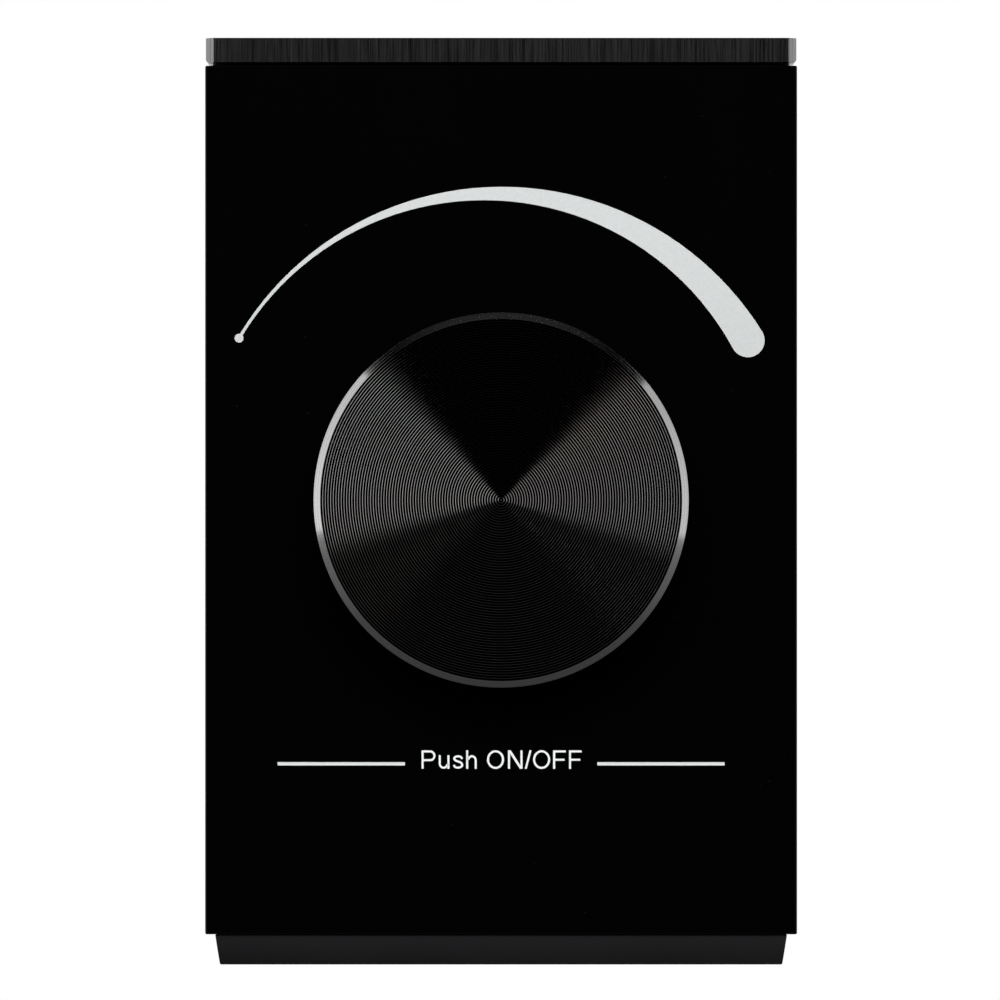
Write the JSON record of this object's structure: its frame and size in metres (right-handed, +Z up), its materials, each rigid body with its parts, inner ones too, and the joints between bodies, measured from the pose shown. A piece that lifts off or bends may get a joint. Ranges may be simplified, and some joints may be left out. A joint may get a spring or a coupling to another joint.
{
  "type": "rotary dimmer panel",
  "caption": "Wall dimmer with a black glass front, a turned metal knob that turns and is pressed to switch, a printed brightness wedge and an in-wall housing with rear terminals.",
  "frame": {"origin": "middle of the two box-screw slots, on the wall plane at the back of the base", "axes": "+Z up, +Y into the wall, +X to the right as seen from the front; the knob faces -Y"},
  "size_m": [0.08, 0.0544, 0.1256],
  "materials": {
    "black_glass": "polished, black behind",
    "adhesive": "matt",
    "print_white": "printed ink",
    "base_plastic": "fine matt texture",
    "rail_metal": "brushed, black anodised",
    "knob_metal": "black anodised, fine turned rings, bright cut chamfer",
    "steel": "plain",
    "shaft_metal": "turned",
    "contact_brass": "plain",
    "copper_wire": "enamelled wire",
    "board_green": "solder mask",
    "chip_black": "moulded",
    "barrier_plastic": "moulded",
    "ferrite": "sintered",
    "capacitor_sleeve": "sleeve",
    "sink_metal": "extruded",
    "terminal_plastic": "moulded"
  },
  "bodies": {
    "panel": {"front_glass": "black_glass", "glass_adhesive": "adhesive", "scale_print": "print_white", "glass_carrier": "base_plastic", "top_rail": "rail_metal", "rail_screws": "steel", "base_housing": "base_plastic", "inner_cover": "barrier_plastic", "cover_screws": "steel", "power_board": "board_green", "control_board": "board_green", "control_board_screws": "steel", "controller_chip": "chip_black", "socket_strip": "chip_black", "header_block": "chip_black", "header_pins": "contact_brass", "encoder_case": "chip_black", "encoder_cover": "steel", "encoder_bushing": "contact_brass", "bushing_washer": "steel", "bushing_nut": "steel", "encoder_pins": "contact_brass", "detent_spring": "steel", "switch_dome": "steel", "transformer_core": "ferrite", "transformer_bobbin": "barrier_plastic", "transformer_winding": "copper_wire", "bulk_capacitors": "capacitor_sleeve", "filter_choke": "ferrite", "line_fuse": "chip_black", "dimming_transistors": "chip_black", "heat_sink": "sink_metal", "terminal_block": "terminal_plastic", "terminal_clamps": "steel", "terminal_screws": "steel"},
    "rotor": {"encoder_rotor": "barrier_plastic"},
    "plunger": {"switch_plunger": "barrier_plastic"},
    "knob": {"encoder_shaft": "shaft_metal", "shaft_ring": "steel", "knob_shell": "knob_metal", "knob_hub": "base_plastic", "knob_clip": "steel"}
  },
  "joints": [
    {"name": "knob_turn", "type": "hinge", "parent": "panel", "child": "rotor", "pos_m": [0, 0, 0], "axis": [0, 1, 0], "continuous": true},
    {"name": "knob_push", "type": "slide", "parent": "rotor", "child": "knob", "axis": [0, 1, 0], "range_m": [0, 0.001], "stiffness_N_per_m": 2500, "springref_m": -0.001},
    {"name": "plunger_push", "type": "slide", "parent": "panel", "child": "plunger", "axis": [0, 1, 0], "range_m": [0, 0.001], "deforming": ["switch_dome"]}
  ],
  "couplings": [
    {"joint": "plunger_push", "follows": "knob_push", "ratio": 1}
  ]
}
